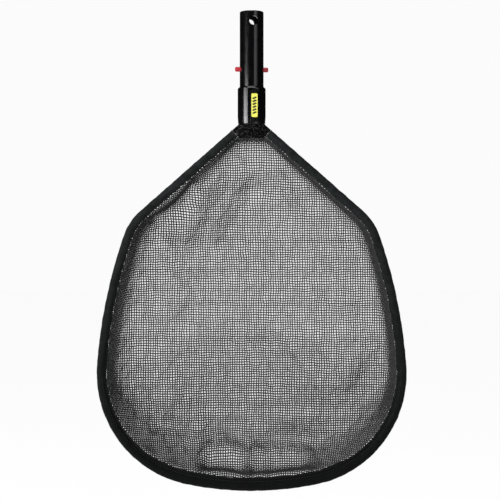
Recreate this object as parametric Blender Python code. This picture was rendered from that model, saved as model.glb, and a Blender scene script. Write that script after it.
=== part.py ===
"""Leaf skimmer net for a pool or spa: a bent tube frame in a cloth sleeve with a mesh bag, held by a
plastic yoke and handle that slides into a telescopic pole and locks with a two-button spring clip.

Metres, +Z up. The origin is on the handle's axis, at the shoulder where the pole stops. The handle
runs up from there, the frame hangs below in the plane Y = 0, and the bag bulges towards +Y.
"""

import math

import bmesh
import bpy
from mathutils import Matrix, Vector

MM = 0.001
GAP = 0.3 * MM

# Handle: a tube that slides into the pole, and the collar that the pole stops against.
TUBE_R = 14.25 * MM
BORE_R = 11.85 * MM
TUBE_TOP = 90.0 * MM
COLLAR_R = 16.75 * MM
COLLAR_END_R = 16.15 * MM
COLLAR_BOTTOM = -45.0 * MM
SHOULDER_RISE = 2.4 * MM
HANDLE_SIDES = 64
HANDLE_TURN = 11.0
HANGING_HOLE_R = 5.4 * MM
HANGING_HOLE_Z = 78.0 * MM

# Pad on the front of the collar, and the label set into it.
PAD_WIDTH = 9.4 * MM
PAD_TOP = -3.0 * MM
PAD_BOTTOM = -43.0 * MM
PAD_PROUD = 0.5 * MM
LABEL_WIDTH = 7.4 * MM
LABEL_HEIGHT = 28.0 * MM
LABEL_CENTRE_Z = -23.5 * MM
LABEL_CORNER_R = 1.6 * MM
LABEL_THICKNESS = 0.6 * MM
POCKET_DEPTH = 0.6 * MM

# Spring clip inside the handle: a base, and two arms that carry the locking buttons.
BUTTON_R = 2.9 * MM
BUTTON_TIP_X = 20.0 * MM
BUTTON_Z = 21.0 * MM
BUTTON_HOLE_R = 3.5 * MM
BUTTON_HOLE_RISE = 0.5 * MM
CLIP_X = 9.9 * MM
CLIP_THICKNESS = 2.0 * MM
CLIP_WIDTH = 8.0 * MM
CLIP_TOP = 36.0 * MM
CLIP_HINGE_Z = -23.5 * MM
CLIP_BASE_BOTTOM = -28.7 * MM

# Yoke: a plug in the collar, a skirt, and a socket for each end of the frame tube.
PLUG_TOP = -29.0 * MM
YOKE_BOTTOM = -61.0 * MM
SOCKET_APEX_Z = -37.5 * MM
SOCKET_MOUTH = 26.5 * MM
SOCKET_FLOOR = 10.7 * MM
SOCKET_R = 4.9 * MM

# Frame tube and its outline: an arm, a shoulder bend, a side, a lower corner and the bottom.
FRAME_R = 3.5 * MM
FRAME_BORE_R = 2.6 * MM
ARM_ANGLE = 48.7
SHOULDER_ANGLE = 19.3
SIDE_ANGLE = 4.0
CORNER_ANGLE = -78.7
ARM_END = 173.5 * MM
SHOULDER_BEND_R = 64.0 * MM
SIDE_BEND_R = 598.0 * MM
CORNER_BEND_R = 130.5 * MM

# Cloth sleeve round the frame: a round casing with a flat hem that widens along the bottom.
SLEEVE_R = 5.0 * MM
SLEEVE_BORE_R = 4.1 * MM
SLEEVE_START = 26.9 * MM
HEM_TIP_R = 0.9 * MM
BAND_WIDTHS = ((0, 10.0), (190, 10.4), (330, 11.2), (450, 13.6), (520, 16.2), (600, 16.0), (760, 15.6))

# Mesh bag: steep walls that round over into a slightly crowned back.
BAG_THICKNESS = 1.0 * MM
BAG_DEPTH = 52.0 * MM
BAG_CROWN = 4.0 * MM
BAG_WALL = 34.0 * MM
BAG_TOP = -62.5 * MM
BAG_TOP_SLOPE = 200.0 * MM
BAG_HUB_Z = -300.0 * MM
BAG_SPOKES = 60
BAG_RINGS = (1.0, 0.985, 0.955, 0.92, 0.87, 0.8, 0.68, 0.5, 0.28)

# Screws: one locks the yoke in the collar, and one locks each end of the frame.
SCREW_HEAD_R = 2.8 * MM
SCREW_SHANK_R = 1.4 * MM
SCREW_HOLE_R = 1.75 * MM
SCREW_POCKET_R = 3.15 * MM
YOKE_SCREW_Z = -36.0 * MM
FRAME_SCREW_AT = 18.5 * MM


def clear_scene():
    for thing in list(bpy.data.objects):
        bpy.data.objects.remove(thing, do_unlink=True)


def plastic(name, colour, roughness, metallic=0.0):
    """A Principled material with one colour."""
    made = bpy.data.materials.new(name)
    made.use_nodes = True
    shader = made.node_tree.nodes["Principled BSDF"]
    shader.inputs["Base Color"].default_value = (*colour, 1.0)
    shader.inputs["Roughness"].default_value = roughness
    shader.inputs["Metallic"].default_value = metallic
    return made


def make_object(name, mesh_data, finish=None, smooth_angle=35.0):
    """An object from a bmesh, shaded smooth except at sharp edges."""
    bmesh.ops.recalc_face_normals(mesh_data, faces=mesh_data.faces)
    mesh = bpy.data.meshes.new(name)
    mesh_data.to_mesh(mesh)
    mesh_data.free()
    mesh.shade_smooth()
    mesh.set_sharp_from_angle(angle=math.radians(smooth_angle))
    made = bpy.data.objects.new(name, mesh)
    bpy.context.collection.objects.link(made)
    if finish:
        mesh.materials.append(finish)
    return made


def make_cutter(name, mesh_data):
    """A guide object for a Boolean, left out of the model."""
    made = make_object(name, mesh_data)
    made.hide_render = True
    made.display_type = "WIRE"
    return made


def boolean(target, tool, operation="DIFFERENCE"):
    step = target.modifiers.new(tool.name, "BOOLEAN")
    step.operation = operation
    step.solver = "EXACT"
    step.object = tool


def turned(profile, sides):
    """A bmesh turned round Z from a closed profile of (radius, height) points."""
    shape = bmesh.new()
    rim = [shape.verts.new((radius, 0.0, height)) for radius, height in profile]
    edges = [shape.edges.new((a, b)) for a, b in zip(rim, rim[1:] + rim[:1])]
    bmesh.ops.spin(
        shape, geom=rim + edges, cent=(0, 0, 0), axis=(0, 0, 1), angle=math.tau, steps=sides,
        use_merge=True,
    )
    bmesh.ops.remove_doubles(shape, verts=shape.verts, dist=0.00001)
    on_axis = [edge for edge in shape.edges if not edge.link_faces]
    bmesh.ops.delete(shape, geom=on_axis, context="EDGES")
    return shape


def rod(radius, start, end, sides=24):
    """A bmesh cylinder between two points."""
    start, end = Vector(start), Vector(end)
    shape = bmesh.new()
    turn = (end - start).to_track_quat("Z", "Y").to_matrix().to_4x4()
    place = Matrix.Translation((start + end) / 2) @ turn
    bmesh.ops.create_cone(
        shape, cap_ends=True, segments=sides, radius1=radius, radius2=radius,
        depth=(end - start).length, matrix=place,
    )
    return shape


def block(low, high):
    """A bmesh box between two corners."""
    low, high = Vector(low), Vector(high)
    shape = bmesh.new()
    place = Matrix.Translation((low + high) / 2) @ Matrix.Diagonal((*(high - low), 1.0))
    bmesh.ops.create_cube(shape, size=1.0, matrix=place)
    return shape


def loft(rings, closed=False):
    """A bmesh skin over rings of points. A closed loft joins the last ring to the first."""
    shape = bmesh.new()
    rows = [[shape.verts.new(point) for point in ring] for ring in rings]
    pairs = list(zip(rows, rows[1:]))
    if closed:
        pairs.append((rows[-1], rows[0]))
    else:
        shape.faces.new(rows[0])
        shape.faces.new(rows[-1])
    for lower, upper in pairs:
        for k in range(len(lower)):
            after = (k + 1) % len(lower)
            shape.faces.new((lower[k], lower[after], upper[after], upper[k]))
    return shape


def extruded(outline, y_low, y_high):
    """A bmesh prism from (x, z) outline points, along Y."""
    return loft([[(x, y, z) for x, z in outline] for y in (y_low, y_high)])


def arc_points(centre, radius, start, end, steps):
    """Points on an arc in (x, z), with angles in degrees from +X."""
    turns = [math.radians(start + (end - start) * k / steps) for k in range(steps + 1)]
    return [(centre[0] + radius * math.cos(t), centre[1] + radius * math.sin(t)) for t in turns]


def rounded_outline(width, low, high, radius, steps=4):
    """A rounded rectangle in (x, z), centred on X = 0."""
    half = width / 2 - radius
    return (
        arc_points((half, low + radius), radius, -90, 0, steps)
        + arc_points((half, high - radius), radius, 0, 90, steps)
        + arc_points((-half, high - radius), radius, 90, 180, steps)
        + arc_points((-half, low + radius), radius, 180, 270, steps)
    )


def arm_direction(side):
    angle = math.radians(ARM_ANGLE)
    return Vector((side * math.sin(angle), 0.0, -math.cos(angle)))


def on_arm(side, distance):
    """A point on the arm's axis, at a distance from where the two arms' axes meet."""
    return Vector((0.0, 0.0, SOCKET_APEX_Z)) + arm_direction(side) * distance


def half_path():
    """The right half of the frame's centre line: (distance along, x, z, angle from vertical)."""
    start = on_arm(1, SOCKET_FLOOR + GAP)
    spots = [(0.0, start.x, start.z, ARM_ANGLE)]

    def straight(length, steps):
        along, x, z, angle = spots[-1]
        turn = math.radians(angle)
        for k in range(1, steps + 1):
            run = length * k / steps
            spots.append((along + run, x + run * math.sin(turn), z - run * math.cos(turn), angle))

    def bend(radius, end_angle, steps):
        along, x, z, angle = spots[-1]
        turn = math.radians(angle)
        centre_x, centre_z = x - radius * math.cos(turn), z - radius * math.sin(turn)
        for k in range(1, steps + 1):
            now = angle + (end_angle - angle) * k / steps
            t = math.radians(now)
            run = radius * math.radians(angle - now)
            spots.append((along + run, centre_x + radius * math.cos(t), centre_z + radius * math.sin(t), now))

    straight(SLEEVE_START - SOCKET_FLOOR - GAP, 2)
    straight(ARM_END - SLEEVE_START, 5)
    bend(SHOULDER_BEND_R, SHOULDER_ANGLE, 4)
    bend(SIDE_BEND_R, SIDE_ANGLE, 6)
    bend(CORNER_BEND_R, CORNER_ANGLE, 12)
    bottom_radius = spots[-1][1] / math.cos(math.radians(CORNER_ANGLE))
    bend(bottom_radius, -90.0, 3)
    return spots


def frame_path():
    """The whole centre line, right arm first: (distance along, point, outward direction)."""
    right = half_path()
    whole = 2 * right[-1][0]
    path = []
    for along, x, z, angle in right:
        t = math.radians(angle)
        path.append((along, Vector((x, 0.0, z)), Vector((math.cos(t), 0.0, math.sin(t)))))
    for along, x, z, angle in reversed(right[:-1]):
        t = math.radians(angle)
        path.append((whole - along, Vector((-x, 0.0, z)), Vector((-math.cos(t), 0.0, math.sin(t)))))
    return path


def band_width(along, whole):
    """The sleeve's width seen from the front, from the outer edge to the hem's edge."""
    here = min(along, whole - along) / MM
    for (a, wide_a), (b, wide_b) in zip(BAND_WIDTHS, BAND_WIDTHS[1:]):
        if here <= b:
            return (wide_a + (wide_b - wide_a) * (here - a) / (b - a)) * MM
    return BAND_WIDTHS[-1][1] * MM


def swept(path, section):
    """A bmesh skin swept along the frame path. section gives (outward, Y) points at each place."""
    rings = []
    for along, point, outward in path:
        rings.append([point + outward * across + Vector((0, y, 0)) for across, y in section(along)])
    return rings


def circle_section(radius, sides):
    turns = [math.tau * k / sides for k in range(sides)]
    return [(radius * math.cos(t), radius * math.sin(t)) for t in turns]


def hollow_sweep(outer_rings, inner_rings):
    """A closed body between an outer and an inner skin, open along its middle."""
    around = len(outer_rings[0])
    sections = [outer + inner for outer, inner in zip(outer_rings, inner_rings)]
    shape = bmesh.new()
    rows = [[shape.verts.new(point) for point in section] for section in sections]
    for lower, upper in zip(rows, rows[1:]):
        for first in (0, around):
            for k in range(around):
                here, after = first + k, first + (k + 1) % around
                shape.faces.new((lower[here], lower[after], upper[after], upper[here]))
    for row in (rows[0], rows[-1]):
        for k in range(around):
            after = (k + 1) % around
            shape.faces.new((row[k], row[after], row[around + after], row[around + k]))
    return shape


def turned_with_handle(part):
    """The handle is locked in the yoke a little turned from the frame's plane, and this part with it."""
    part.matrix_world = Matrix.Rotation(math.radians(HANDLE_TURN), 4, "Z") @ part.matrix_world
    return part


def make_handle(finish):
    """The moulded tube and collar, with its holes and the pad on its front."""
    profile = [
        (BORE_R, COLLAR_BOTTOM),
        (COLLAR_END_R - 0.4 * MM, COLLAR_BOTTOM),
        (COLLAR_END_R, COLLAR_BOTTOM + 0.5 * MM),
        (COLLAR_R, COLLAR_BOTTOM + 9.0 * MM),
        (COLLAR_R, -SHOULDER_RISE),
        (COLLAR_R - 0.5 * MM, -SHOULDER_RISE + 0.9 * MM),
        (TUBE_R, 0.0),
        (TUBE_R, TUBE_TOP - 0.6 * MM),
        (TUBE_R - 0.5 * MM, TUBE_TOP),
        (BORE_R + 0.3 * MM, TUBE_TOP),
        (BORE_R, TUBE_TOP - 0.4 * MM),
    ]
    handle = make_object("handle", turned(profile, HANDLE_SIDES), finish)
    front = COLLAR_R + PAD_PROUD
    arch_r = PAD_WIDTH / 2
    pad_outline = [(-arch_r, PAD_BOTTOM), (arch_r, PAD_BOTTOM)]
    pad_outline += arc_points((0, PAD_TOP - arch_r), arch_r, 0, 180, 10)
    pad = extruded(pad_outline, -front, -BORE_R - 1.2 * MM)
    boolean(handle, turned_with_handle(make_cutter("guide_pad", pad)), "UNION")
    label_low = LABEL_CENTRE_Z - LABEL_HEIGHT / 2
    label_high = LABEL_CENTRE_Z + LABEL_HEIGHT / 2
    pocket_outline = rounded_outline(
        LABEL_WIDTH + 2 * GAP, label_low - GAP, label_high + GAP, LABEL_CORNER_R + GAP
    )
    pocket = extruded(pocket_outline, -front - MM, -front + POCKET_DEPTH)
    boolean(handle, turned_with_handle(make_cutter("guide_label_pocket", pocket)))
    reach = COLLAR_R + 5 * MM
    hanging = rod(HANGING_HOLE_R, (0, -reach, HANGING_HOLE_Z), (0, reach, HANGING_HOLE_Z), 36)
    boolean(handle, turned_with_handle(make_cutter("guide_hanging_hole", hanging)))
    hole_z = BUTTON_Z + BUTTON_HOLE_RISE
    holes = rod(BUTTON_HOLE_R, (-reach, 0, hole_z), (reach, 0, hole_z), 28)
    boolean(handle, turned_with_handle(make_cutter("guide_button_holes", holes)))
    for side, name in ((-1, "left"), (1, "right")):
        notch = rod(SOCKET_R + GAP, on_arm(side, 2 * MM), on_arm(side, 40 * MM), 32)
        boolean(handle, make_cutter(f"guide_notch_{name}", notch))
    screw_path = rod(SCREW_HOLE_R, (0, 5 * MM, YOKE_SCREW_Z), (0, reach, YOKE_SCREW_Z), 16)
    boolean(handle, make_cutter("guide_handle_screw_hole", screw_path))
    pocket = rod(SCREW_POCKET_R, (0, COLLAR_R - 2.0 * MM, YOKE_SCREW_Z), (0, reach, YOKE_SCREW_Z), 24)
    boolean(handle, make_cutter("guide_handle_screw_pocket", pocket))
    return handle


def make_label(finish):
    """The badge in the pad's pocket. What is printed on it is left to its finish."""
    front = COLLAR_R + PAD_PROUD
    outline = rounded_outline(
        LABEL_WIDTH, LABEL_CENTRE_Z - LABEL_HEIGHT / 2, LABEL_CENTRE_Z + LABEL_HEIGHT / 2, LABEL_CORNER_R
    )
    back = -front + POCKET_DEPTH - GAP
    return turned_with_handle(make_object("label", extruded(outline, back - LABEL_THICKNESS, back), finish))


def skirt_ring(half_width, half_depth, z, sides=40):
    """A ring of the yoke's skirt: a circle that flattens into an oval."""
    turns = [math.tau * k / sides for k in range(sides)]
    return [(half_width * math.cos(t), half_depth * math.sin(t), z) for t in turns]


def make_yoke(finish):
    """The plug, the flared skirt and two sockets, as one moulding."""
    top = COLLAR_BOTTOM - GAP
    rings = [
        skirt_ring(BORE_R - GAP - 0.8 * MM, BORE_R - GAP - 0.8 * MM, PLUG_TOP),
        skirt_ring(BORE_R - GAP, BORE_R - GAP, PLUG_TOP - 0.8 * MM),
        skirt_ring(BORE_R - GAP, BORE_R - GAP, top),
        skirt_ring(COLLAR_END_R - 0.3 * MM, COLLAR_END_R - 0.3 * MM, top),
        skirt_ring(16.9 * MM, 15.2 * MM, -47.0 * MM),
        skirt_ring(18.9 * MM, 13.0 * MM, -49.8 * MM),
        skirt_ring(21.2 * MM, 10.8 * MM, -53.0 * MM),
        skirt_ring(22.0 * MM, 9.0 * MM, -56.5 * MM),
        skirt_ring(20.0 * MM, 7.6 * MM, -59.6 * MM),
        skirt_ring(18.0 * MM, 6.0 * MM, YOKE_BOTTOM),
    ]
    yoke = make_object("yoke", loft(rings), finish)
    for side, name in ((-1, "left"), (1, "right")):
        boss = rod(SOCKET_R, on_arm(side, 9 * MM), on_arm(side, SOCKET_MOUTH + 2 * MM), 32)
        boolean(yoke, make_cutter(f"guide_boss_{name}", boss), "UNION")
    for side, name in ((-1, "left"), (1, "right")):
        face = on_arm(side, SOCKET_MOUTH)
        along = arm_direction(side)
        trim = block((-0.03, -0.03, 0.0), (0.03, 0.03, 0.03))
        turn = along.to_track_quat("Z", "Y").to_matrix().to_4x4()
        bmesh.ops.transform(trim, matrix=Matrix.Translation(face) @ turn, verts=trim.verts)
        boolean(yoke, make_cutter(f"guide_mouth_{name}", trim))
        socket = rod(FRAME_R + GAP, on_arm(side, SOCKET_FLOOR), on_arm(side, 40 * MM), 24)
        boolean(yoke, make_cutter(f"guide_socket_{name}", socket))
        at = on_arm(side, FRAME_SCREW_AT)
        hole = rod(SCREW_HOLE_R, at, at + Vector((0, 20 * MM, 0)), 16)
        boolean(yoke, make_cutter(f"guide_frame_screw_hole_{name}", hole))
        pocket = rod(SCREW_POCKET_R, at + Vector((0, 6.5 * MM, 0)), at + Vector((0, 20 * MM, 0)), 24)
        boolean(yoke, make_cutter(f"guide_frame_screw_pocket_{name}", pocket))
    pilot = rod(SCREW_HOLE_R, (0, 2.5 * MM, YOKE_SCREW_Z), (0, 20 * MM, YOKE_SCREW_Z), 16)
    boolean(yoke, make_cutter("guide_yoke_pilot", pilot))
    return yoke


def make_frame_tube(finish):
    """The bent tube, open at both ends, drilled where the screws bite."""
    path = frame_path()
    outer = swept(path, lambda along: circle_section(FRAME_R, 12))
    inner = swept(path, lambda along: circle_section(FRAME_BORE_R, 12))
    tube = make_object("frame_tube", hollow_sweep(outer, inner), finish)
    for side, name in ((-1, "left"), (1, "right")):
        at = on_arm(side, FRAME_SCREW_AT)
        drill = rod(SCREW_HOLE_R, at + Vector((0, 1 * MM, 0)), at + Vector((0, 6 * MM, 0)), 16)
        boolean(tube, make_cutter(f"guide_drill_{name}", drill))
    return tube


def sleeve_section(width, sides=14):
    """The round casing and its flat hem: the hull of a large and a small circle."""
    reach = width - SLEEVE_R - HEM_TIP_R
    points = []
    for k in range(sides):
        t = math.tau * k / sides
        off_inward = abs(math.degrees(t) - 180.0)
        limit = math.degrees(math.acos(min(1.0, (SLEEVE_R - HEM_TIP_R) / reach)))
        if off_inward < limit:
            points.append((-reach + HEM_TIP_R * math.cos(t), HEM_TIP_R * math.sin(t)))
        else:
            points.append((SLEEVE_R * math.cos(t), SLEEVE_R * math.sin(t)))
    return points


def make_rim_sleeve(finish):
    """The cloth casing that the frame runs through."""
    path = frame_path()
    whole = path[-1][0]
    start = SLEEVE_START - SOCKET_FLOOR - GAP
    covered = [spot for spot in path if start - 1e-6 <= spot[0] <= whole - start + 1e-6]
    outer = swept(covered, lambda along: sleeve_section(band_width(along, whole)))
    inner = swept(covered, lambda along: circle_section(SLEEVE_BORE_R, 14))
    return make_object("rim_sleeve", hollow_sweep(outer, inner), finish)


def bag_outline():
    """The bag's edge in (x, z), just inside the hem, from its top right corner round to its top left."""
    path = frame_path()
    whole = path[-1][0]
    line = []
    for along, point, outward in path:
        inner = point - outward * (band_width(along, whole) - SLEEVE_R + GAP)
        line.append((inner.x, inner.z))
    edge = []
    for (x, z), (next_x, next_z) in zip(line, line[1:]):
        if z < BAG_TOP:
            edge.append((x, z))
        if (z - BAG_TOP) * (next_z - BAG_TOP) < 0:
            share = (BAG_TOP - z) / (next_z - z)
            edge.append((x + (next_x - x) * share, BAG_TOP))
    return edge


def evenly_spaced(outline, count):
    """Points at equal steps along a closed (x, z) outline."""
    corners = outline + outline[:1]
    lengths = [math.dist(a, b) for a, b in zip(corners, corners[1:])]
    step = sum(lengths) / count
    points, travelled, wanted = [], 0.0, 0.0
    for (a, b), length in zip(zip(corners, corners[1:]), lengths):
        while len(points) < count and wanted <= travelled + length:
            share = (wanted - travelled) / length
            points.append((a[0] + (b[0] - a[0]) * share, a[1] + (b[1] - a[1]) * share))
            wanted += step
        travelled += length
    return points


def distance_to_outline(x, z, outline):
    """The shortest distance from a point to a closed outline."""
    shortest = math.inf
    for (ax, az), (bx, bz) in zip(outline, outline[1:] + outline[:1]):
        dx, dz = bx - ax, bz - az
        share = ((x - ax) * dx + (z - az) * dz) / (dx * dx + dz * dz)
        share = min(1.0, max(0.0, share))
        shortest = min(shortest, math.hypot(x - ax - share * dx, z - az - share * dz))
    return shortest


def bag_depth(x, z, outline):
    """How far the bag lies behind its edge: a steep wall, then a round turn into the back."""
    inset = distance_to_outline(x, z, outline)
    turn = min(1.0, inset / BAG_WALL)
    wall = (1.0 - (1.0 - turn) ** 2.6) ** (1 / 1.6)
    below_top = min(1.0, max(0.0, (BAG_TOP - z) / BAG_TOP_SLOPE))
    deep = BAG_DEPTH * (0.2 + 0.8 * below_top * (2.0 - below_top))
    crown = BAG_CROWN * math.exp(-((x / (110 * MM)) ** 2) - ((z - BAG_HUB_Z) / (120 * MM)) ** 2)
    return (deep + crown) * wall


def make_mesh_bag(finish):
    """The bag as a thin skin with its true outer shape and open front."""
    outline = bag_outline()
    spokes = evenly_spaced(outline, BAG_SPOKES)
    shape = bmesh.new()
    rows = []
    for ring in BAG_RINGS:
        row = []
        for x, z in spokes:
            here_x, here_z = x * ring, BAG_HUB_Z + (z - BAG_HUB_Z) * ring
            depth = bag_depth(here_x, here_z, outline) if ring < 1.0 else 0.0
            row.append(shape.verts.new((here_x, depth, here_z)))
        rows.append(row)
    for lower, upper in zip(rows, rows[1:]):
        for k in range(BAG_SPOKES):
            after = (k + 1) % BAG_SPOKES
            shape.faces.new((lower[k], lower[after], upper[after], upper[k]))
    hub = shape.verts.new((0.0, bag_depth(0.0, BAG_HUB_Z, outline), BAG_HUB_Z))
    for k in range(BAG_SPOKES):
        shape.faces.new((rows[-1][k], rows[-1][(k + 1) % BAG_SPOKES], hub))
    bag = make_object("mesh_bag", shape, finish)
    skin = bag.modifiers.new("skin", "SOLIDIFY")
    skin.thickness = BAG_THICKNESS
    skin.offset = -1.0
    skin.use_even_offset = True
    return bag


def make_clip_base(finish):
    """The bend of the spring clip, which sits on the plug inside the collar."""
    half = CLIP_X + CLIP_THICKNESS / 2
    low = CLIP_BASE_BOTTOM
    top = CLIP_HINGE_Z - GAP / 2
    inner = CLIP_X - CLIP_THICKNESS / 2
    outline = arc_points((-half + 2 * MM, low + 2 * MM), 2 * MM, 180, 270, 4)
    outline += arc_points((half - 2 * MM, low + 2 * MM), 2 * MM, 270, 360, 4)
    outline += [(half, top), (inner, top), (inner, low + 3.4 * MM)]
    outline += [(inner - 1.4 * MM, low + 2 * MM), (-inner + 1.4 * MM, low + 2 * MM)]
    outline += [(-inner, low + 3.4 * MM), (-inner, top), (-half, top)]
    base = make_object("clip_base", extruded(outline, -CLIP_WIDTH / 2, CLIP_WIDTH / 2), finish)
    return turned_with_handle(base)


def make_clip_arm(side, name, finish):
    """One arm with its button. The object's origin is on the arm's hinge axis."""
    low = GAP / 2
    top = CLIP_TOP - CLIP_HINGE_Z
    half = CLIP_THICKNESS / 2
    arm_outline = [(-half, low), (half, low), (half, top - MM)]
    arm_outline += [(half - 0.7 * MM, top), (-half, top)]
    outline = [(x * side, z) for x, z in arm_outline]
    arm = make_object(f"clip_arm_{name}", extruded(outline, -CLIP_WIDTH / 2, CLIP_WIDTH / 2), finish)
    button_z = BUTTON_Z - CLIP_HINGE_Z
    tip = BUTTON_TIP_X - CLIP_X
    profile = [(0.0, -half / 2), (BUTTON_R, -half / 2), (BUTTON_R, tip - 0.9 * MM)]
    profile += [(BUTTON_R - 0.3 * MM, tip - 0.3 * MM), (BUTTON_R - 0.9 * MM, tip), (0.0, tip)]
    button = turned(profile, 28)
    bmesh.ops.rotate(button, verts=button.verts, matrix=Matrix.Rotation(side * math.pi / 2, 3, "Y"))
    bmesh.ops.translate(button, verts=button.verts, vec=(0, 0, button_z))
    guide = make_cutter(f"guide_button_{name}", button)
    boolean(arm, guide, "UNION")
    place = Matrix.Translation((side * CLIP_X, 0.0, CLIP_HINGE_Z))
    arm.matrix_world = place
    guide.matrix_world = place
    turned_with_handle(guide)
    return turned_with_handle(arm)


def make_screw(name, head_at, length, finish):
    """A pan-head screw along -Y, with a cross recess. head_at is the middle of the head's seat."""
    head = 1.6 * MM
    profile = [
        (0.0, -length), (SCREW_SHANK_R * 0.45, -length), (SCREW_SHANK_R, -length + 1.6 * MM),
        (SCREW_SHANK_R, 0.0), (SCREW_HEAD_R, 0.0), (SCREW_HEAD_R, 0.7 * head),
        (SCREW_HEAD_R * 0.75, head), (0.0, head),
    ]
    shape = turned(profile, 20)
    screw = make_object(name, shape, finish)
    turn = Matrix.Translation(head_at) @ Matrix.Rotation(-math.pi / 2, 4, "X")
    arm, slot = 1.7 * MM, 0.35 * MM
    cross_outline = [
        (slot, -arm), (slot, -slot), (arm, -slot), (arm, slot), (slot, slot), (slot, arm),
        (-slot, arm), (-slot, slot), (-arm, slot), (-arm, -slot), (-slot, -slot), (-slot, -arm),
    ]
    cross = loft([[(x, y, z) for x, y in cross_outline] for z in (0.6 * MM, 3 * MM)])
    guide = make_cutter(f"guide_cross_{name}", cross)
    boolean(screw, guide)
    screw.matrix_world = turn
    guide.matrix_world = turn
    return screw


def build():
    clear_scene()
    glossy_black = plastic("glossy black plastic", (0.012, 0.012, 0.014), 0.18)
    yoke_black = plastic("yoke plastic", (0.02, 0.02, 0.022), 0.35)
    red = plastic("red plastic", (0.55, 0.02, 0.03), 0.35)
    aluminium = plastic("aluminium", (0.72, 0.73, 0.74), 0.35, 1.0)
    cloth = plastic("sleeve cloth", (0.035, 0.038, 0.038), 0.8)
    net = plastic("net", (0.03, 0.03, 0.03), 0.7)
    steel = plastic("screw steel", (0.6, 0.6, 0.62), 0.3, 1.0)
    yellow = plastic("label yellow", (0.85, 0.8, 0.05), 0.35)
    make_handle(glossy_black)
    make_label(yellow)
    make_yoke(yoke_black)
    make_frame_tube(aluminium)
    make_rim_sleeve(cloth)
    make_mesh_bag(net)
    make_clip_base(red)
    make_clip_arm(-1, "left", red)
    make_clip_arm(1, "right", red)
    make_screw("yoke_screw", (0.0, COLLAR_R - 2.0 * MM + 0.1 * MM, YOKE_SCREW_Z), 11 * MM, steel)
    for side, name in ((-1, "left"), (1, "right")):
        seat = on_arm(side, FRAME_SCREW_AT) + Vector((0, 6.6 * MM, 0))
        make_screw(f"frame_screw_{name}", seat, 5.6 * MM, steel)


build()
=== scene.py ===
"""The looks of the leaf skimmer net: moulded plastic, sewn sleeve, woven net, studio and camera."""
import math
import random

import bpy
import numpy as np
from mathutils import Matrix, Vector


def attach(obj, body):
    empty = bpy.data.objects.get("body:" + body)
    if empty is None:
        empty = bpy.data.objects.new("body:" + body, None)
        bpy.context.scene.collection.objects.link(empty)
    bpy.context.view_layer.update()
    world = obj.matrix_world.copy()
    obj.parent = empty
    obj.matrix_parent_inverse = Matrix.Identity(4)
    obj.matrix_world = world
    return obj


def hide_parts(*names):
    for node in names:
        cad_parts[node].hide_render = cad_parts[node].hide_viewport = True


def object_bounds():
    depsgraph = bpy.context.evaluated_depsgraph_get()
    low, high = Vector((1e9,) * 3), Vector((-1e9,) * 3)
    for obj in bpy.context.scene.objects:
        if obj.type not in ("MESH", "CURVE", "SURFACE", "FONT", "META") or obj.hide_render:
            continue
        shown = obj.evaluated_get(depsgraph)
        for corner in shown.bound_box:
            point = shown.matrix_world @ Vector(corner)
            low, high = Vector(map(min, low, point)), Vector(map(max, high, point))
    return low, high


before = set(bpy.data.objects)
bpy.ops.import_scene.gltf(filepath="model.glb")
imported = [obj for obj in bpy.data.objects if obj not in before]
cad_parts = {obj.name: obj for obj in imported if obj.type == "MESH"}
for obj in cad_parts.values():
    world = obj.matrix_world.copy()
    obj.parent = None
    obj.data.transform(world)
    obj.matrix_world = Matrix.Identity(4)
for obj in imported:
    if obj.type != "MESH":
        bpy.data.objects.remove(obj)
cad_low, cad_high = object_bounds()

MM = 0.001

# Frame outline, as the CAD builds it: an arm, a shoulder bend, a side, a corner and the bottom.
# Angles are in degrees from the vertical.
ARM_ANGLE, SHOULDER_ANGLE, SIDE_ANGLE, CORNER_ANGLE = 48.7, 19.3, 4.0, -78.7
APEX_Z = -37.5 * MM
SLEEVE_START = 26.9 * MM
ARM_END = 173.5 * MM
SHOULDER_BEND_R, SIDE_BEND_R, CORNER_BEND_R = 64.0 * MM, 598.0 * MM, 130.5 * MM
# The sleeve's width by the distance from the arm's end, both in mm.
BAND_WIDTHS = ((0, 10.0), (190, 10.4), (330, 11.2), (450, 13.6), (520, 16.2), (600, 16.0), (760, 15.6))
BAND_START = 11.0

CAMERA_AZIMUTH = 0.0
CAMERA_DISTANCE = 1.6
PICTURE_WIDTH = 0.6
SENSOR_WIDTH = 36.0
AIM_X = -2.0 * MM
AIM_SHARE = 0.5032  # of the way up the object


def arm_point(distance):
    """The point (x, z) on the right arm's centre line at this distance from the apex."""
    turn = math.radians(ARM_ANGLE)
    return distance * math.sin(turn), APEX_Z - distance * math.cos(turn)


def outline_half(step=4 * MM):
    """Centre line of the right half: (distance from the sleeve's start, x, z, angle from vertical)."""
    x, z = arm_point(SLEEVE_START)
    spots = [(0.0, x, z, ARM_ANGLE)]
    length = ARM_END - SLEEVE_START
    count = math.ceil(length / step)
    turn = math.radians(ARM_ANGLE)
    for k in range(1, count + 1):
        run = length * k / count
        spots.append((run, x + run * math.sin(turn), z - run * math.cos(turn), ARM_ANGLE))
    bends = [(SHOULDER_BEND_R, SHOULDER_ANGLE), (SIDE_BEND_R, SIDE_ANGLE), (CORNER_BEND_R, CORNER_ANGLE)]
    for radius, end_angle in [*bends, (None, -90.0)]:
        along, x, z, angle = spots[-1]
        turn = math.radians(angle)
        if radius is None:
            radius = x / math.cos(turn)
        centre_x, centre_z = x - radius * math.cos(turn), z - radius * math.sin(turn)
        length = radius * math.radians(angle - end_angle)
        count = math.ceil(length / step)
        for k in range(1, count + 1):
            now = angle + (end_angle - angle) * k / count
            t = math.radians(now)
            x, z = centre_x + radius * math.cos(t), centre_z + radius * math.sin(t)
            spots.append((along + length * k / count, x, z, now))
    return spots


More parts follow.
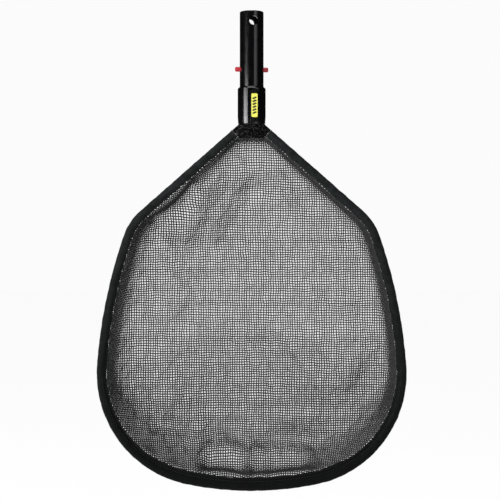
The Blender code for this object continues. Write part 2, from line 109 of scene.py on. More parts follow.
def outline():
    """The whole centre line, right arm first: arrays of distance, point (x, z) and outward (x, z)."""
    right = outline_half()
    whole = 2 * right[-1][0]
    rows = [(a, x, z, math.cos(math.radians(t)), math.sin(math.radians(t))) for a, x, z, t in right]
    rows += [(whole - a, -x, z, -nx, nz) for a, x, z, nx, nz in reversed(rows[:-1])]
    table = np.array(rows)
    return table[:, 0], table[:, 1:3], table[:, 3:5]


ALONG, CENTRE, OUTWARD = outline()
WHOLE = ALONG[-1]


def band_width(along):
    """The sleeve's width seen from the front."""
    here = np.minimum(along, WHOLE - along) / MM + SLEEVE_START / MM - BAND_START
    return np.interp(here, [a for a, _ in BAND_WIDTHS], [w for _, w in BAND_WIDTHS]) * MM


# Materials ----------------------------------------------------------------------------------------


class Surface:
    """A material's node tree, with short calls to add nodes and links."""

    def __init__(self, name):
        self.material = bpy.data.materials.new(name)
        self.material.use_nodes = True
        self.tree = self.material.node_tree
        self.shader = self.tree.nodes["Principled BSDF"]
        self.place = self.tree.nodes.new("ShaderNodeTexCoord").outputs["Object"]

    def node(self, kind, **values):
        made = self.tree.nodes.new("ShaderNode" + kind)
        for key, value in values.items():
            if key in made.inputs:
                made.inputs[key].default_value = value
            else:
                setattr(made, key, value)
        return made

    def link(self, source, node, socket):
        self.tree.links.new(source, node.inputs[socket])

    def set(self, **values):
        for key, value in values.items():
            self.shader.inputs[key.replace("_", " ")].default_value = value

    def noise(self, size, detail=3.0, stretch=(1.0, 1.0, 1.0)):
        """Noise whose blobs are about size metres across, divided by stretch along each axis."""
        mapping = self.node("Mapping")
        mapping.inputs["Scale"].default_value = [1 / size / s for s in stretch]
        self.link(self.place, mapping, "Vector")
        made = self.node("TexNoise", Scale=1.0, Detail=detail)
        self.link(mapping.outputs["Vector"], made, "Vector")
        return made.outputs["Fac"]

    def ranged(self, source, low, high, start=0.3, end=0.7):
        made = self.node("MapRange")
        for key, value in (("From Min", start), ("From Max", end), ("To Min", low), ("To Max", high)):
            made.inputs[key].default_value = value
        self.link(source, made, "Value")
        return made.outputs["Result"]

    def ramp(self, source, *stops):
        made = self.node("ValToRGB")
        band = made.color_ramp
        for k, (at, colour) in enumerate(stops):
            stop = band.elements[k] if k < 2 else band.elements.new(at)
            stop.position = at
            stop.color = (*colour, 1.0)
        self.link(source, made, "Fac")
        return made.outputs["Color"]

    def bump(self, source, strength, distance):
        made = self.node("Bump", Strength=strength, Distance=distance)
        self.link(source, made, "Height")
        self.link(made.outputs["Normal"], self.shader, "Normal")

    def colour(self, source):
        self.link(source, self.shader, "Base Color")

    def roughness(self, source):
        self.link(source, self.shader, "Roughness")


def moulded_plastic(name, dark, light, rough, grain, bump_distance):
    """Moulded plastic: a faint cloudiness, uneven gloss, fine scuffs along Z and a little texture."""
    made = Surface(name)
    cloud = made.noise(9 * MM, 4.0)
    made.colour(made.ramp(cloud, (0.3, dark), (0.7, light)))
    scuffs = made.noise(0.9 * MM, 2.0, (1.0, 1.0, 14.0))
    made.roughness(made.ranged(scuffs, rough[0], rough[1]))
    made.bump(made.noise(grain, 3.0), 0.35, bump_distance)
    made.set(IOR=1.5, Specular_IOR_Level=0.5)
    return made.material


def grained_plastic():
    """Matt black moulding with a coarse pale speckle worn into its grain."""
    made = Surface("grained black plastic")
    speckle = made.noise(1.5 * MM, 3.0)
    made.colour(made.ramp(speckle, (0.54, (0.0006, 0.0006, 0.0006)), (0.66, (0.04, 0.04, 0.04))))
    made.roughness(made.ranged(speckle, 0.42, 0.65))
    made.bump(made.noise(0.9 * MM, 3.0), 0.5, 0.08 * MM)
    made.set(IOR=1.5, Specular_IOR_Level=0.03)
    return made.material


def brushed_metal(name, dark, light, rough, stretch):
    """Metal with a fine grain, long along one axis."""
    made = Surface(name)
    grain = made.noise(0.25 * MM, 3.0, stretch)
    made.colour(made.ramp(grain, (0.25, dark), (0.75, light)))
    made.roughness(made.ranged(grain, rough[0], rough[1]))
    made.bump(grain, 0.2, 0.01 * MM)
    made.set(Metallic=1.0)
    return made.material


def printed_yellow():
    """The label's ground: yellow ink, slightly cloudy."""
    made = Surface("label yellow")
    cloud = made.noise(2.5 * MM, 3.0)
    made.colour(made.ramp(cloud, (0.3, (0.76, 0.73, 0.10)), (0.7, (0.86, 0.84, 0.14))))
    made.roughness(made.ranged(made.noise(0.7 * MM), 0.25, 0.4))
    made.bump(made.noise(0.35 * MM), 0.2, 0.02 * MM)
    return made.material


def painted_print():
    """Dark ink for the marks."""
    made = Surface("label print")
    speckle = made.noise(0.3 * MM, 2.0)
    made.colour(made.ramp(speckle, (0.3, (0.004, 0.008, 0.004)), (0.7, (0.010, 0.018, 0.008))))
    made.roughness(made.ranged(speckle, 0.35, 0.5))
    return made.material


def finish(node, material):
    """Gives a CAD node this material in each of its slots."""
    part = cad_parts[node]
    for each in part.material_slots:
        each.material = material


HANDLE_PLASTIC = moulded_plastic(
    "glossy black plastic", (0.001, 0.001, 0.0013), (0.0026, 0.0026, 0.003),
    rough=(0.10, 0.2), grain=0.45 * MM, bump_distance=0.006 * MM,
)
YOKE_PLASTIC = grained_plastic()
CLIP_PLASTIC = moulded_plastic(
    "red plastic", (0.30, 0.006, 0.018), (0.46, 0.012, 0.03),
    rough=(0.22, 0.36), grain=0.4 * MM, bump_distance=0.008 * MM,
)
ALUMINIUM = brushed_metal(
    "aluminium tube", (0.5, 0.51, 0.52), (0.8, 0.8, 0.8), rough=(0.22, 0.42), stretch=(1.0, 1.0, 18.0)
)
STEEL = brushed_metal(
    "screw steel", (0.38, 0.38, 0.39), (0.66, 0.66, 0.67), rough=(0.18, 0.36), stretch=(1.0, 8.0, 1.0)
)
LABEL_YELLOW = printed_yellow()
LABEL_PRINT = painted_print()

finish("handle", HANDLE_PLASTIC)
finish("yoke", YOKE_PLASTIC)
finish("frame_tube", ALUMINIUM)
finish("label", LABEL_YELLOW)
for each_node in ("clip_base", "clip_arm_left", "clip_arm_right"):
    finish(each_node, CLIP_PLASTIC)
for each_node in ("yoke_screw", "frame_screw_left", "frame_screw_right"):
    finish(each_node, STEEL)


# Studio -------------------------------------------------------------------------------------------


def build_camera():
    """The camera at its azimuth, level with its aim, so that the picture is PICTURE_WIDTH wide there."""
    aim = Vector((AIM_X, 0.0, cad_low.z + (cad_high.z - cad_low.z) * AIM_SHARE))
    turn = math.radians(CAMERA_AZIMUTH)
    data = bpy.data.cameras.new("camera")
    data.sensor_width = SENSOR_WIDTH
    data.lens = SENSOR_WIDTH * CAMERA_DISTANCE / PICTURE_WIDTH
    data.clip_start = 0.05
    data.clip_end = 50.0
    camera = bpy.data.objects.new("camera", data)
    bpy.context.scene.collection.objects.link(camera)
    camera.location = aim + CAMERA_DISTANCE * Vector((math.sin(turn), -math.cos(turn), 0.0))
    camera.rotation_euler = (aim - camera.location).to_track_quat("-Z", "Y").to_euler()
    bpy.context.scene.camera = camera


def softbox(name, azimuth, height, distance, size, power):
    """An area light round the object at azimuth, unseen by the camera itself."""
    turn = math.radians(azimuth)
    data = bpy.data.lights.new(name, "AREA")
    data.shape = "RECTANGLE"
    data.size, data.size_y = size
    data.energy = power
    lamp = bpy.data.objects.new(name, data)
    bpy.context.scene.collection.objects.link(lamp)
    lamp.location = (distance * math.sin(turn), -distance * math.cos(turn), height)
    aim = Vector((0.0, 0.0, LAMP_AIM_Z))
    lamp.rotation_euler = (aim - lamp.location).to_track_quat("-Z", "Y").to_euler()
    lamp.visible_camera = False


def build_world():
    """White to the eye, dim in reflections and in between for soft light from all round."""
    world = bpy.data.worlds.new("studio")
    bpy.context.scene.world = world
    world.use_nodes = True
    tree = world.node_tree
    tree.nodes.clear()
    path = tree.nodes.new("ShaderNodeLightPath")
    output = tree.nodes.new("ShaderNodeOutputWorld")

    def plain(level):
        made = tree.nodes.new("ShaderNodeBackground")
        made.inputs["Color"].default_value = (level, level, level, 1.0)
        return made.outputs["Background"]

    def choose(by, other, picked):
        made = tree.nodes.new("ShaderNodeMixShader")
        tree.links.new(path.outputs[by], made.inputs[0])
        tree.links.new(other, made.inputs[1])
        tree.links.new(picked, made.inputs[2])
        return made.outputs["Shader"]

    dim = choose("Is Glossy Ray", plain(WORLD_DIFFUSE), plain(WORLD_GLOSSY))
    tree.links.new(choose("Is Camera Ray", dim, plain(WORLD_SEEN)), output.inputs["Surface"])


def build_floor():
    """A pale floor under the net. It glows to match the background."""
    made = Surface("floor")
    mottle = made.noise(0.35, 2.0)
    made.colour(made.ramp(mottle, (0.3, (0.06, 0.06, 0.06)), (0.7, (0.07, 0.07, 0.07))))
    made.set(Roughness=0.9, Emission_Color=(1.0, 1.0, 1.0, 1.0), Emission_Strength=FLOOR_GLOW)
    mesh = bpy.data.meshes.new("floor")
    low = cad_low.z - FLOOR_DROP
    side, far = FLOOR_SIDE, FLOOR_BEHIND
    corners = [(-side, -side, low), (side, -side, low), (side, far, low), (-side, far, low)]
    mesh.from_pydata(corners, [], [(0, 1, 2, 3)])
    mesh.materials.append(made.material)
    floor = bpy.data.objects.new("floor", mesh)
    bpy.context.scene.collection.objects.link(floor)


WORLD_SEEN = 0.965
WORLD_DIFFUSE = 0.22
WORLD_GLOSSY = 0.008
FLOOR_DROP = 0.12
FLOOR_GLOW = 0.945
FLOOR_SIDE = 4
FLOOR_BEHIND = 12
LAMP_AIM_Z = -0.2

bpy.context.scene.view_settings.view_transform = "Standard"
build_camera()
build_world()
build_floor()
softbox("key", azimuth=-53, height=-0.285, distance=1.5, size=(0.8, 0.9), power=28)
softbox("fill", azimuth=38, height=0.05, distance=1.6, size=(0.7, 1.0), power=3)
softbox("top", azimuth=-8, height=1.6, distance=0.5, size=(1.4, 1.2), power=24)


# Shared mesh helpers ------------------------------------------------------------------------------


def piece(name, verts, faces, material, smooth=True):
    """A mesh piece that rides on the net's body and takes the given material."""
    mesh = bpy.data.meshes.new(name)
    mesh.from_pydata(verts, [], faces)
    mesh.validate()
    mesh.materials.append(material)
    if smooth:
        mesh.shade_smooth()
    made = bpy.data.objects.new(name, mesh)
    bpy.context.scene.collection.objects.link(made)
    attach(made, "net")
    return made


def waves(seed, count, shortest, longest):
    """A smooth random function of a position (any number of coordinates), about -1 to 1."""
    draw = random.Random(seed)
    terms = []
    for _ in range(count):
        length = shortest * (longest / shortest) ** draw.random()
        turn = draw.uniform(0, math.tau)
        tilt = draw.uniform(-0.9, 0.9)
        phase = draw.uniform(0, math.tau)
        terms.append((math.tau / length, math.cos(turn), math.sin(turn), tilt, phase))

    def value(a, b=0.0, c=0.0):
        total = 0.0
        for k, ca, cb, cc, phase in terms:
            total = total + np.sin(k * (ca * a + cb * b + cc * c) + phase)
        return total / math.sqrt(count)

    return value


def unit(vectors):
    return vectors / np.maximum(np.linalg.norm(vectors, axis=-1, keepdims=True), 1e-12)


def smoothstep(t):
    t = np.clip(t, 0, 1)
    return t * t * (3 - 2 * t)


def outline_at(distance):
    """Point (x, z) and outward (x, z) on the frame's centre line, for an array of distances."""
    point = np.stack([np.interp(distance, ALONG, CENTRE[:, k]) for k in (0, 1)], -1)
    out = np.stack([np.interp(distance, ALONG, OUTWARD[:, k]) for k in (0, 1)], -1)
    return point, out / np.linalg.norm(out, axis=-1, keepdims=True)


# Sleeve -------------------------------------------------------------------------------------------

CASING_R = 4.95 * MM
LINING_R = 4.15 * MM
HEM_HALF = 0.95 * MM
SLEEVE_STEP = 2.2 * MM
STITCH_PITCH = 3.4 * MM
STITCH_LONG = 2.5 * MM
STITCH_R = 0.21 * MM
STITCH_STRAY = 0.12 * MM
STITCH_SIDES = 6
# Along a stitch: how far, how high above the cloth and how thick, the last two in radii.
STITCH_SHAPE = (
    (0.0, -0.6, 0.5), (0.18, 0.35, 1.0), (0.5, 0.6, 1.05), (0.82, 0.35, 1.0), (1.0, -0.6, 0.5),
)
OUTER_ROW_INSET = 1.5 * MM
OUTER_ROW_END = 6 * MM
INNER_ROW_INSET = 4.9 * MM
INNER_ROW_SHARE = 0.29  # where the wide hem's second row starts, of the whole length
EDGE_ROLL_OUT = 0.1 * MM
EDGE_ROLL_R = 0.42 * MM
EDGE_ROLL_HALF = 0.5 * MM


def half_thickness(inward, tip):
    """Half the sleeve's thickness at a distance inward of the tube's axis: round casing, then hem."""
    casing = np.sqrt(np.clip(CASING_R**2 - inward**2, 0, None))
    past = np.clip(inward - (tip - HEM_HALF), 0, HEM_HALF)
    hem = np.where(inward > 0, np.sqrt(HEM_HALF**2 - past**2), 0.0)
    sharp = 8 / MM
    blend = np.log(np.exp(sharp * casing) + np.exp(sharp * hem)) / sharp - math.log(2) / sharp
    return np.where(inward > 0.6 * CASING_R, np.clip(blend, 0, None), casing)


def sleeve_section(width, steps=22):
    """The closed section's (inward, y) points: round the front, back along the other side."""
    tip = width - CASING_R
    turn = np.linspace(0, math.pi, steps)
    inward = (tip - CASING_R) / 2 - (tip + CASING_R) / 2 * np.cos(turn)
    half = half_thickness(inward, tip)
    half[0] = half[-1] = 0.0
    front = np.stack([inward, -half], -1)
    back = np.stack([inward, half], -1)[-2:0:-1]
    return np.concatenate([front, back])


def sleeve_rings():
    """The cloth's outer rings, with small puckers, and its smooth lining's rings."""
    crease = waves(11, 9, 5 * MM, 26 * MM)
    pull = waves(12, 7, 30 * MM, 110 * MM)
    count = int(WHOLE / SLEEVE_STEP)
    outer, lining = [], []
    for distance in np.linspace(0, WHOLE, count):
        point, out = outline_at(np.array([distance]))
        point, out = point[0], out[0]
        width = float(band_width(np.array([distance]))[0]) + 0.25 * MM * float(pull(distance))
        section = sleeve_section(width)
        centre = section.mean(0)
        around = section - centre
        length = np.linalg.norm(around, axis=1, keepdims=True)
        angle = np.arctan2(around[:, 1], around[:, 0])
        swell = 0.17 * MM * crease(distance, 6 * MM * np.cos(angle), 6 * MM * np.sin(angle))
        on_hem = np.clip((section[:, 0] - CASING_R) / (2 * MM), 0, 1)
        swell = swell + on_hem * 0.16 * MM * np.sin(math.tau * distance / STITCH_PITCH)
        section = section + around / length * swell[:, None]
        outer.append([(point[0] - out[0] * a, y, point[1] - out[1] * a) for a, y in section])
        turns = np.linspace(0, math.tau, len(section), endpoint=False) + math.pi
        bore = [(LINING_R * math.cos(t), LINING_R * math.sin(t)) for t in turns]
        lining.append([(point[0] - out[0] * a, -y, point[1] - out[1] * a) for a, y in bore])
    return outer, lining


def ring_faces(rows, sides, start=0, flip=False):
    """Faces of a skin between rings of equal counts, numbered from start."""
    faces = []
    for row in range(rows - 1):
        low = start + row * sides
        for k in range(sides):
            after = (k + 1) % sides
            face = (low + k, low + after, low + sides + after, low + sides + k)
            faces.append(face[::-1] if flip else face)
    return faces


def build_sleeve():
    """The sleeve: the outer skin and the lining round the tube, closed at both ends."""
    outer, lining = sleeve_rings()
    rows, sides = len(outer), len(outer[0])
    verts = [v for ring in outer for v in ring] + [v for ring in lining for v in ring]
    inside = rows * sides
    faces = ring_faces(rows, sides) + ring_faces(rows, sides, inside, flip=True)
    for base, flip in ((0, False), ((rows - 1) * sides, True)):
        for k in range(sides):
            after = (k + 1) % sides
            face = (base + after, base + k, inside + base + k, inside + base + after)
            faces.append(face[::-1] if flip else face)
    made = piece("frame_sleeve", verts, faces, SLEEVE_CLOTH)
    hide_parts("rim_sleeve")
    return made


def capsule(start, end, up, radius, verts, faces):
    """Adds one stitch: a short thread that dips into the cloth at both ends."""
    along = end - start
    side = along.cross(up).normalized()
    base = len(verts)
    for share, rise, wide in STITCH_SHAPE:
        middle = start + along * share + up * (radius * rise)
        for k in range(STITCH_SIDES):
            turn = math.tau * k / STITCH_SIDES
            spot = middle + (side * math.cos(turn) + up * math.sin(turn)) * (radius * wide)
            verts.append(tuple(spot))
    faces += ring_faces(len(STITCH_SHAPE), STITCH_SIDES, base)
    last = base + (len(STITCH_SHAPE) - 1) * STITCH_SIDES
    faces.append(tuple(base + k for k in reversed(range(STITCH_SIDES))))
    faces.append(tuple(last + k for k in range(STITCH_SIDES)))


def stitch_row(inset, verts, faces, start, end, seed):
    """One row of stitches on both faces of the sleeve, inset from the hem's edge."""
    draw = random.Random(seed)
    count = int((end - start) / STITCH_PITCH)
    for k in range(count):
        distance = start + (k + 0.5) * STITCH_PITCH
        half = STITCH_LONG / 2
        ends = np.array([distance - half, distance + half])
        point, out = outline_at(ends)
        width = band_width(ends)
        tip = width - CASING_R
        inward = tip - inset + draw.uniform(-1, 1) * STITCH_STRAY
        deep = half_thickness(inward, tip)
        for face_side in (-1, 1):
            spots = []
            for e in (0, 1):
                x, z = point[e] - out[e] * inward[e]
                spots.append(Vector((x, face_side * deep[e], z)))
            up = Vector((0.0, float(face_side), 0.0))
            capsule(spots[0], spots[1], up, STITCH_R, verts, faces)


def build_stitches():
    """The stitches that close the hem, and a second row where it is wide."""
    verts, faces = [], []
    stitch_row(OUTER_ROW_INSET, verts, faces, OUTER_ROW_END, WHOLE - OUTER_ROW_END, 21)
    stitch_row(INNER_ROW_INSET, verts, faces, INNER_ROW_SHARE * WHOLE, (1 - INNER_ROW_SHARE) * WHOLE, 22)
    return piece("sleeve_stitches", verts, faces, STITCH_THREAD)


def build_sleeve_ends():
    """A rolled edge round the sleeve's opening at each arm."""
    verts, faces = [], []
    sides, rolls = 40, 8
    for start, inward_sign in ((0.0, 1), (WHOLE, -1)):
        base = len(verts)
        for k in range(sides):
            turn = math.tau * k / sides
            for r in range(rolls):
                roll = math.tau * r / rolls
                away = CASING_R + EDGE_ROLL_OUT + EDGE_ROLL_R * math.cos(roll)
                distance = start + inward_sign * EDGE_ROLL_HALF * (1 + math.sin(roll))
                point, out = outline_at(np.array([distance]))
                (x, z), (nx, nz) = point[0], out[0]
                across = away * math.cos(turn)
                verts.append((x + nx * across, away * math.sin(turn), z + nz * across))
        for k in range(sides):
            for r in range(rolls):
                here, there = base + k * rolls, base + (k + 1) % sides * rolls
                face = (here + r, there + r, there + (r + 1) % rolls, here + (r + 1) % rolls)
                faces.append(face if inward_sign > 0 else face[::-1])
    return piece("sleeve_edges", verts, faces, EDGE_CLOTH)


def woven_cloth(name, dark, light, thread):
    """Plain woven cloth: two crossing sets of fine threads over a soft mottling, with a little sheen.

    It is painted lighter towards the handle and darker at the bottom: painted light and shade, as if lit
    from above.
    """
    made = Surface(name)
    mottle = made.noise(7 * MM, 4.0)
    height = made.node("SeparateXYZ")
    made.link(made.place, height, "Vector")
    # Painted light and shade: the colour is scaled up with height, lighter on the arms and darkest at
    # the bottom.
    painted_light_by_height = made.ranged(height.outputs["Z"], 0.5, 3.2, -0.45, -0.12)
    scaled = made.node("VectorMath", operation="SCALE")
    made.link(made.ramp(mottle, (0.28, dark), (0.74, light)), scaled, "Vector")
    made.link(painted_light_by_height, scaled, "Scale")
    made.colour(scaled.outputs["Vector"])
    made.roughness(made.ranged(made.noise(1.2 * MM), 0.78, 0.95))
    weave = []
    for axis in ("X", "Z"):
        wave = made.node("TexWave", wave_type="BANDS", bands_direction=axis)
        wave.inputs["Scale"].default_value = math.tau / (20 * thread)
        wave.inputs["Distortion"].default_value = 0.6
        wave.inputs["Detail"].default_value = 1.0
        made.link(made.place, wave, "Vector")
        weave.append(wave.outputs["Fac"])
    both = made.node("Math", operation="MULTIPLY")
    made.tree.links.new(weave[0], both.inputs[0])
    made.tree.links.new(weave[1], both.inputs[1])
    made.bump(both.outputs["Value"], 0.5, 0.12 * MM)
    made.set(Sheen_Weight=0.02, Sheen_Roughness=0.5, Specular_IOR_Level=0.1)
    return made.material


def yarn(name, dark, light, twist):
    """Thread: a fine slanted twist, uneven colour and a soft gloss."""
    made = Surface(name)
    made.colour(made.ramp(made.noise(4 * MM, 3.0), (0.3, dark), (0.7, light)))
    made.roughness(made.ranged(made.noise(1.5 * MM), 0.5, 0.75))
    wave = made.node("TexWave", wave_type="BANDS", bands_direction="DIAGONAL")
    wave.inputs["Scale"].default_value = math.tau / (20 * twist)
    made.link(made.place, wave, "Vector")
    made.bump(wave.outputs["Fac"], 0.4, 0.05 * MM)
    made.set(Specular_IOR_Level=0.3)
    return made.material


SLEEVE_CLOTH = woven_cloth("sleeve cloth", (0.0016, 0.002, 0.002), (0.0045, 0.0052, 0.0052), 0.45 * MM)
EDGE_CLOTH = woven_cloth("sleeve edge", (0.008, 0.008, 0.008), (0.016, 0.016, 0.016), 0.4 * MM)
STITCH_THREAD = yarn("stitch thread", (0.007, 0.007, 0.007), (0.014, 0.014, 0.014), 0.3 * MM)
NET_YARN = yarn("net yarn", (0.014, 0.014, 0.015), (0.034, 0.034, 0.035), 0.35 * MM)

sleeve = build_sleeve()
stitches = build_stitches()
edges = build_sleeve_ends()


# Label print --------------------------------------------------------------------------------------


def label_face():
    """The label's turn about Z, and its x bounds, front y and z bounds in axes turned with it."""
    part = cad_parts["label"]
    turn = math.radians(HANDLE_TURN)
    points = [part.matrix_world @ v.co for v in part.data.vertices]
    xs = [p.x * math.cos(turn) + p.y * math.sin(turn) for p in points]
    ys = [p.y * math.cos(turn) - p.x * math.sin(turn) for p in points]
    zs = [p.z for p in points]
    return turn, min(xs), max(xs), min(ys), min(zs), max(zs)


def ribbon(line, half, front, verts, faces):
    """A raised flat stripe along a line of (x, z) points, PRINT_HIGH thick."""
    line = np.array(line)
    along = unit(np.gradient(line, axis=0))
    off = np.stack([-along[:, 1], along[:, 0]], -1) * half
    first = len(verts)
    for point, aside in zip(line, off):
        for sign, y in ((1, front), (1, front - PRINT_HIGH), (-1, front - PRINT_HIGH), (-1, front)):
            verts.append((point[0] + sign * aside[0], y, point[1] + sign * aside[1]))
    last = first + 4 * (len(line) - 1)
    for a in range(first, last, 4):
        faces += [(a + i, a + 4 + i, a + 4 + (i + 1) % 4, a + (i + 1) % 4) for i in range(4)]
    faces += [(first, first + 1, first + 2, first + 3), (last + 3, last + 2, last + 1, last)]


def build_label_print():
    """A column of short bold wave marks, as a plain stand-in for printed lettering."""
    turn, x0, x1, front, z0, z1 = label_face()
    verts, faces = [], []
    for k in range(WAVE_COUNT):
        centre = (z0 + z1) / 2 + (k - (WAVE_COUNT - 1) / 2) * WAVE_APART
        line = []
        for t in np.linspace(-0.5, 0.5, WAVE_POINTS):
            line.append(((x0 + x1) / 2 + t * WAVE_LONG, centre + WAVE_HIGH * math.sin(math.tau * t)))
        ribbon(line, WAVE_LINE / 2, front, verts, faces)
    cosine, sine = math.cos(turn), math.sin(turn)
    turned = [(x * cosine - y * sine, x * sine + y * cosine, z) for x, y, z in verts]
    return piece("label_print", turned, faces, LABEL_PRINT, smooth=False)


HANDLE_TURN = 11.0
PRINT_HIGH = 0.06 * MM
WAVE_LINE = 1.9 * MM
WAVE_LONG = 4.4 * MM
WAVE_APART = 3.5 * MM
WAVE_HIGH = 0.6 * MM
WAVE_COUNT = 6
WAVE_POINTS = 17

build_label_print()


# Net ----------------------------------------------------------------------------------------------

PITCH = 2.95 * MM
THREAD_WIDE = 1.27 * MM
THREAD_THICK = 0.8 * MM
LOW_THICKER = 0.2
# Along a lip's crease the threads are wider: by how much, how far past the lip, and over what width.
BUNCHED_WIDER = 0.7
BUNCHED_PAST = 3 * MM
BUNCHED_HALF = 4.5 * MM
# The cloth's top edge, and how its walls grow from TOP_SCALE to full size over TOP_SLOPE below it.
NET_TOP = -60.5 * MM
TOP_SLOPE = 200.0 * MM
TOP_SCALE = 0.5
# Cloth beyond the flat opening, the walls' rounding and their angle from the opening, in degrees.
EASE = 25.0 * MM
LOW_EASE = -7.0 * MM
ROUNDING = 40.0 * MM
RIGHT_ROUNDING = 27.0 * MM
LOW_ROUNDING = 68.0 * MM
WALL_ANGLE = 73.5
RIGHT_ANGLE = 80.0
LOW_ANGLE = 53.0
PROFILE_STEPS = 70
# A fine ledge at the hem, its lean in degrees, and how far the threads go under the hem.
HEM_LIP = 0.7 * MM
HEM_LEAN = 30.0
HEM_TUCK = 3.0 * MM
# How much deeper the middle is, its centre's z, and its half widths along x and z.
CROWN = 4.0 * MM
CROWN_Z = -300 * MM
CROWN_WIDE = 110 * MM
CROWN_HIGH = 120 * MM
# The bag levels out from LEVEL_FROM and gets no deeper than DEEPEST.
LEVEL_FROM = 44.0 * MM
DEEPEST = 56.0 * MM
# Behind a lip the cloth runs straight back from an eye at this height, CAMERA_DISTANCE in front.
SIGHT_Z = -0.1955
# Lips, where the cloth runs across from the hem before it turns back: x and z on the hem, half its
# length, how far it runs, how much more cloth is gathered there (all mm), and its lean back (degrees).
LIPS = (
    (-34, -466, 38, 13.0, 12, 38), (9, -467, 18, 9.5, 10, 38), (43, -465, 44, 10.5, 11, 38),
    (-95, -450, 15, 4.0, 3, 50), (-122, -434, 15, 4.0, 3, 50), (-92, -140, 42, 19.0, 12, 58),
)
MOST_GATHERED = max(lip[4] for lip in LIPS) * MM
LIP_ROUND = 1.1
LIP_RISE = 9 * MM
LIP_TOLD = 42 * MM
# Blurring of the distance from the hem, and of the bag's floor, in cells of the weave.
HEM_BLUR = 2.2
FLOOR_BLUR = 9.0
# Distances from the hem where the floor's blur starts and how long it takes to reach its full value,
# and the same for the walls' sideways shift, which fades out.
BLUR_FROM, BLUR_OVER = 25 * MM, 50 * MM
SHIFT_FROM, SHIFT_OVER = 50 * MM, 80 * MM
# Unevenness: sag and ripple in depth, sway in the bag's plane and jitter of each crossing.
SAG = 1.6 * MM
RIPPLE = 0.25 * MM
SWAY = 0.45 * MM
JITTER = 0.09 * MM
# Soft folds pulled by the arms: both ends (x, z), height and half width, in mm.
FOLDS = (
    (-36, -105, -78, -192, 7.5, 9.0), (-6, -105, -46, -188, 7.5, 9.0), (30, -100, 60, -150, 3.5, 8.0),
    (-62, -200, -100, -290, 3.0, 8.0), (15, -404, 95, -415, 5.0, 9.0), (104, -366, 158, -300, 4.5, 10.0),
    (-104, -378, -72, -432, 4.5, 10.0),
)
FOLD_FADE = 25 * MM
FOLD_DRAWS = 60 * MM


def rim_edge():
    """The hem's inner edge as a closed outline of (x, z) points, right arm first."""
    inner = CENTRE - OUTWARD * (band_width(ALONG) - CASING_R)[:, None]
    edge = inner[inner[:, 1] < NET_TOP]
    slope = (edge[1, 0] - edge[0, 0]) / (edge[1, 1] - edge[0, 1])
    first = np.array([edge[0, 0] + slope * (NET_TOP - edge[0, 1]), NET_TOP])
    last = np.array([-first[0], NET_TOP])
    return np.concatenate([[first], edge, [last]])


def edge_distance(x, z, edge):
    """For arrays x and z: how far inside the closed edge, and how far along it the nearest point is."""
    nearest = np.full(x.shape, np.inf)
    along_edge = np.zeros(x.shape)
    inside = np.zeros(x.shape, bool)
    travelled = 0.0
    for (ax, az), (bx, bz) in zip(edge, np.roll(edge, -1, axis=0)):
        dx, dz = bx - ax, bz - az
        length = math.hypot(dx, dz)
        share = np.clip(((x - ax) * dx + (z - az) * dz) / length**2, 0, 1)
        away = np.hypot(x - ax - share * dx, z - az - share * dz)
        closer = away < nearest
        nearest = np.where(closer, away, nearest)
        along_edge = np.where(closer, travelled + share * length, along_edge)
        travelled += length
        if az != bz:
            crosses = (az > z) != (bz > z)
            inside ^= crosses & (x < ax + (z - az) / (bz - az) * dx)
    return np.where(inside, nearest, -nearest), along_edge


def softened(values, radius):
    """A grid blurred along both axes with a bell of this radius, in cells."""
    reach = int(3 * radius)
    bell = np.exp(-0.5 * (np.arange(-reach, reach + 1) / radius) ** 2)
    bell /= bell.sum()
    for axis in (0, 1):
        margin = [(reach, reach) if a == axis else (0, 0) for a in (0, 1)]
        padded = np.pad(values, margin, "reflect", reflect_type="odd")
        values = np.apply_along_axis(lambda line: np.convolve(line, bell, "valid"), axis, padded)
    return values


def lips(along_edge, edge):
    """How far the cloth runs across at each place along the hem, its lean and its gathering."""
    run = HEM_LIP * (1 + 0.45 * waves(36, 8, 9 * MM, 40 * MM)(along_edge))
    lean = np.full(along_edge.shape, HEM_LEAN)
    gathered = np.zeros(along_edge.shape)
    for x, z, half, height, more, angle in LIPS:
        _, middle = edge_distance(np.array([x * MM]), np.array([z * MM]), edge)
        across = np.clip(np.abs(along_edge - middle) / (half * MM), 0, 1)
        shape = (1 - across**2) ** LIP_ROUND
        here = height * MM * shape
        lean = np.where(here > run, angle, lean)
        run = np.maximum(run, here)
        gathered = np.maximum(gathered, more * MM * shape)
    return run, lean, gathered


def wall_profile(run, ease, rounding, lip, lean, wall_angle, curl):
    """Where the cloth is after this run from the hem: its inset and its depth.

    It turns back, then rounds over. curl is the length over which it turns from its lip into the wall.
    """
    angle, lean = np.radians(wall_angle), np.radians(lean)
    mid = (np.arange(24) + 0.5) / 24
    turned = angle[..., None] * (1 - mid * mid * (3 - 2 * mid))
    round_loss = rounding * (1 - np.cos(turned)).mean(-1)
    wall = np.clip((ease - round_loss) / (1 - np.cos(angle)), 0, None)
    inset, depth = np.zeros(run.shape), np.zeros(run.shape)
    pace = np.clip(run, 0, None) / PROFILE_STEPS
    for k in range(PROFILE_STEPS):
        here = pace * (k + 0.5)
        turn = lean + (angle - lean) * smoothstep((here - lip) / curl + 1)
        over = smoothstep((here - lip - wall) / rounding)
        now = turn * (1 - over)
        inset += pace * np.cos(now)
        depth += pace * np.sin(now)
    return inset + np.minimum(run, 0), depth


